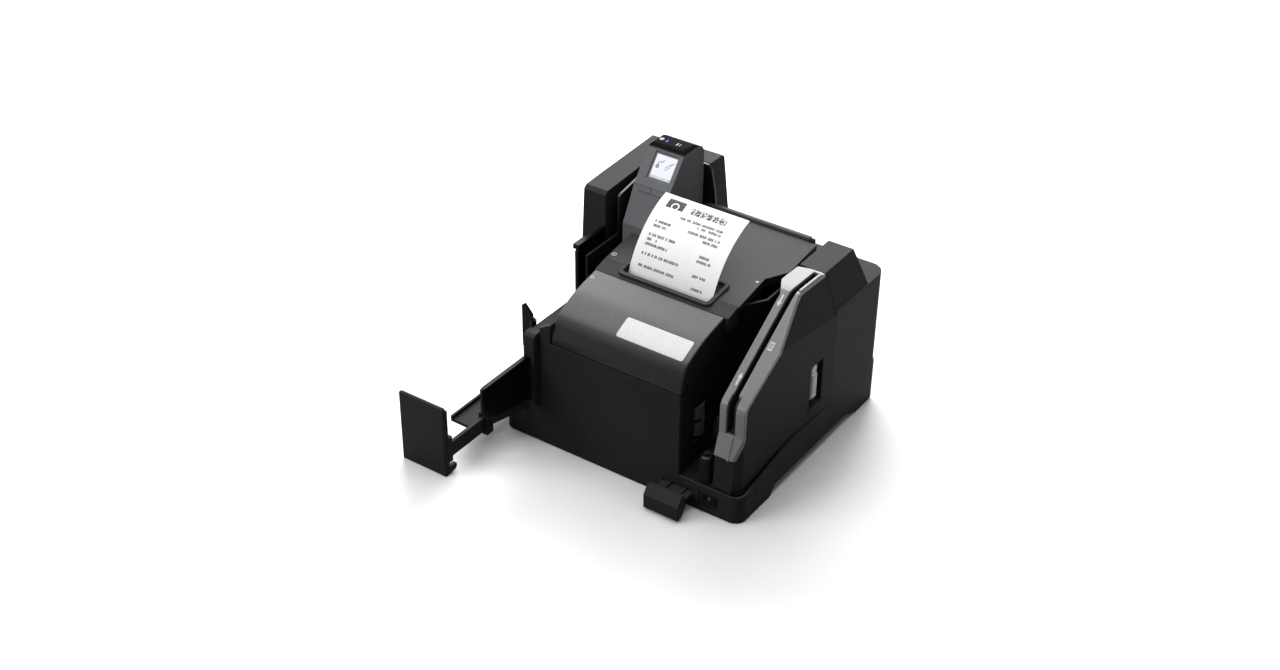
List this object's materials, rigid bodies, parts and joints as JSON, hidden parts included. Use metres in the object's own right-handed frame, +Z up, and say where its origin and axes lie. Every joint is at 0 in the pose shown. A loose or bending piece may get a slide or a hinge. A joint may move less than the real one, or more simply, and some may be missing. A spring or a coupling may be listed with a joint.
{
  "type": "cheque scanner",
  "caption": "Desktop cheque scanner with receipt printer, card reader door, display tower, hinged covers and a slide-out pocket stop.",
  "frame": {"origin": "middle of the underside of the overall box, on the surface the machine stands on", "axes": "+X to the right seen from the front, +Y to the rear, +Z up"},
  "size_m": [0.271, 0.303, 0.2117],
  "materials": {
    "base_housing": "fine-grained matte",
    "rubber_feet": "matte",
    "chassis_plate": "bare metal",
    "main_board": "fine-grained matte",
    "board_parts": "fine-grained matte",
    "port_plate": "fine-grained matte",
    "port_shells": "bare metal",
    "power_inlet": "fine-grained matte",
    "path_deck": "fine-grained matte",
    "inner_guide": "fine-grained matte",
    "front_fascia": "fine-grained matte",
    "corner_post": "fine-grained matte",
    "side_ledge": "fine-grained matte",
    "slot_shroud": "fine-grained matte",
    "roll_bay": "fine-grained matte",
    "thermal_head": "bare metal",
    "cutter_frame": "bare metal",
    "cutter_blade": "ground",
    "platen_roller": "matte",
    "paper_roll": "plain white paper",
    "roll_cover": "fine-grained matte",
    "receipt": "plain white paper",
    "front_cover": "fine-grained matte",
    "slot_wall": "fine-grained matte",
    "rear_cover": "fine-grained matte",
    "right_rear_cover": "fine-grained matte",
    "left_rear_housing": "fine-grained matte",
    "cartridge_cover": "fine-grained matte",
    "ink_cartridge": "fine-grained matte",
    "card_guide": "smooth",
    "tower_shell": "fine-grained matte",
    "screen_panel": "smooth",
    "display_board": "fine-grained matte",
    "left_key": "fine-grained matte",
    "right_key": "fine-grained matte",
    "power_button": "fine-grained matte",
    "status_lights": "smooth",
    "door_shell": "fine-grained matte",
    "swipe_rails": "smooth",
    "swipe_head": "bare metal",
    "door_pin": "ground",
    "door_lever": "smooth",
    "feed_roller": "matte",
    "feed_arm": "fine-grained matte",
    "arm_post": "fine-grained matte",
    "arm_spring": "bare metal",
    "side_roller": "matte",
    "side_pinch_roller": "matte",
    "rear_roller": "matte",
    "exit_roller": "matte",
    "image_bar": "smooth",
    "ink_head": "fine-grained matte",
    "drive_motor": "bare metal",
    "drive_belt": "matte",
    "pocket_floor": "fine-grained matte",
    "pocket_fence": "smooth",
    "pocket_flap": "smooth",
    "stop_plate": "fine-grained matte",
    "feeder_tray": "fine-grained matte",
    "front_switch": "fine-grained matte"
  },
  "bodies": {
    "housing": {"base_housing": "base_housing", "rubber_feet": "rubber_feet", "chassis_plate": "chassis_plate", "main_board": "main_board", "board_parts": "board_parts", "port_plate": "port_plate", "port_shells": "port_shells", "power_inlet": "power_inlet", "path_deck": "path_deck", "inner_guide": "inner_guide", "front_fascia": "front_fascia", "corner_post": "corner_post", "side_ledge": "side_ledge", "slot_shroud": "slot_shroud", "roll_bay": "roll_bay", "thermal_head": "thermal_head", "cutter_frame": "cutter_frame", "slot_wall": "slot_wall", "rear_cover": "rear_cover", "right_rear_cover": "right_rear_cover", "left_rear_housing": "left_rear_housing", "ink_cartridge": "ink_cartridge", "card_guide": "card_guide", "tower_shell": "tower_shell", "screen_panel": "screen_panel", "display_board": "display_board", "status_lights": "status_lights", "door_pin": "door_pin", "arm_post": "arm_post", "image_bar": "image_bar", "ink_head": "ink_head", "drive_motor": "drive_motor", "drive_belt": "drive_belt", "pocket_floor": "pocket_floor", "pocket_fence": "pocket_fence"},
    "roll_cover": {"roll_cover": "roll_cover", "receipt": "receipt"},
    "platen": {"platen_roller": "platen_roller"},
    "front_cover": {"front_cover": "front_cover"},
    "cutter_blade": {"cutter_blade": "cutter_blade"},
    "paper_roll": {"paper_roll": "paper_roll"},
    "tall_cover": {"cartridge_cover": "cartridge_cover"},
    "door": {"door_shell": "door_shell", "swipe_rails": "swipe_rails", "swipe_head": "swipe_head"},
    "door_lever": {"door_lever": "door_lever"},
    "feed_roller": {"feed_roller": "feed_roller"},
    "side_roller": {"side_roller": "side_roller"},
    "rear_roller": {"rear_roller": "rear_roller"},
    "exit_roller": {"exit_roller": "exit_roller"},
    "pinch_roller": {"side_pinch_roller": "side_pinch_roller"},
    "feed_arm": {"feed_arm": "feed_arm", "arm_spring": "arm_spring"},
    "pocket_flap": {"pocket_flap": "pocket_flap"},
    "stop_plate": {"stop_plate": "stop_plate"},
    "feeder_tray": {"feeder_tray": "feeder_tray"},
    "left_key": {"left_key": "left_key"},
    "right_key": {"right_key": "right_key"},
    "power_button": {"power_button": "power_button"},
    "front_switch": {"front_switch": "front_switch"}
  },
  "joints": [
    {"name": "roll_cover_hinge", "type": "hinge", "parent": "housing", "child": "roll_cover", "pos_m": [0.02, 0.1195, 0.1486], "axis": [-1, 0, 0], "range_deg": [0, 80]},
    {"name": "platen_spin", "type": "hinge", "parent": "roll_cover", "child": "platen", "pos_m": [0.02, 0.0217, 0.127], "axis": [1, 0, 0], "continuous": true},
    {"name": "front_cover_hinge", "type": "hinge", "parent": "housing", "child": "front_cover", "pos_m": [0.02, -0.0633, 0.1042], "axis": [1, 0, 0], "range_deg": [0, 75]},
    {"name": "cutter_slide", "type": "slide", "parent": "housing", "child": "cutter_blade", "axis": [0, 1, 0], "range_m": [0, 0.009]},
    {"name": "paper_roll_spin", "type": "hinge", "parent": "housing", "child": "paper_roll", "pos_m": [0.02, 0.0725, 0.0874], "axis": [1, 0, 0], "continuous": true},
    {"name": "tall_cover_hinge", "type": "hinge", "parent": "housing", "child": "tall_cover", "pos_m": [-0.05, 0.1489, 0.1294], "axis": [-1, 0, 0], "range_deg": [0, 70]},
    {"name": "door_hinge", "type": "hinge", "parent": "housing", "child": "door", "pos_m": [0.119, -0.0605, 0.04], "axis": [0, 0, -1], "range_deg": [0, 35]},
    {"name": "door_lever_pivot", "type": "hinge", "parent": "door", "child": "door_lever", "pos_m": [0.13, 0.041, 0.088], "axis": [1, 0, 0], "range_deg": [0, 12], "stiffness_Nm_per_rad": 0.02},
    {"name": "side_roller_spin", "type": "hinge", "parent": "housing", "child": "side_roller", "pos_m": [0.0833, 0.0815, 0.06], "axis": [0, 0, 1], "continuous": true},
    {"name": "feed_roller_spin", "type": "hinge", "parent": "housing", "child": "feed_roller", "pos_m": [0.0708, -0.0365, 0.05], "axis": [0, 0, 1], "continuous": true},
    {"name": "rear_roller_spin", "type": "hinge", "parent": "housing", "child": "rear_roller", "pos_m": [-0.036, 0.1178, 0.06], "axis": [0, 0, 1], "continuous": true},
    {"name": "exit_roller_spin", "type": "hinge", "parent": "housing", "child": "exit_roller", "pos_m": [-0.0782, 0.0675, 0.06], "axis": [0, 0, 1], "continuous": true},
    {"name": "pinch_roller_spin", "type": "hinge", "parent": "housing", "child": "pinch_roller", "pos_m": [0.0998, 0.0815, 0.06], "axis": [0, 0, 1], "continuous": true},
    {"name": "feed_arm_pivot", "type": "hinge", "parent": "housing", "child": "feed_arm", "pos_m": [0.0985, -0.0599, 0.043], "axis": [0, 0, 1], "range_deg": [0, 18], "stiffness_Nm_per_rad": 0.05},
    {"name": "pocket_flap_pivot", "type": "hinge", "parent": "housing", "child": "pocket_flap", "pos_m": [-0.0714, -0.0565, 0.1], "axis": [0, 0, 1], "range_deg": [0, 35], "stiffness_Nm_per_rad": 0.005},
    {"name": "stop_plate_slide", "type": "slide", "parent": "housing", "child": "stop_plate", "axis": [0, 1, 0], "range_m": [0, 0.039]},
    {"name": "feeder_tray_slide", "type": "slide", "parent": "housing", "child": "feeder_tray", "axis": [0, 1, 0], "range_m": [0, 0.0115]},
    {"name": "left_key_press", "type": "slide", "parent": "housing", "child": "left_key", "axis": [0, 0.8821, -0.471], "range_m": [0, 0.0007], "stiffness_N_per_m": 300},
    {"name": "right_key_press", "type": "slide", "parent": "housing", "child": "right_key", "axis": [0, 0.8821, -0.471], "range_m": [0, 0.0007], "stiffness_N_per_m": 300},
    {"name": "power_button_press", "type": "slide", "parent": "housing", "child": "power_button", "axis": [0, 0, -1], "range_m": [0, 0.0007], "stiffness_N_per_m": 300},
    {"name": "front_switch_rock", "type": "hinge", "parent": "housing", "child": "front_switch", "pos_m": [0.1073, -0.0651, 0.013], "axis": [1, 0, 0], "range_deg": [0, 5]}
  ],
  "couplings": [
    {"joint": "feed_roller_spin", "follows": "side_roller_spin", "ratio": 1},
    {"joint": "rear_roller_spin", "follows": "side_roller_spin", "ratio": 1},
    {"joint": "exit_roller_spin", "follows": "side_roller_spin", "ratio": 1.4}
  ]
}
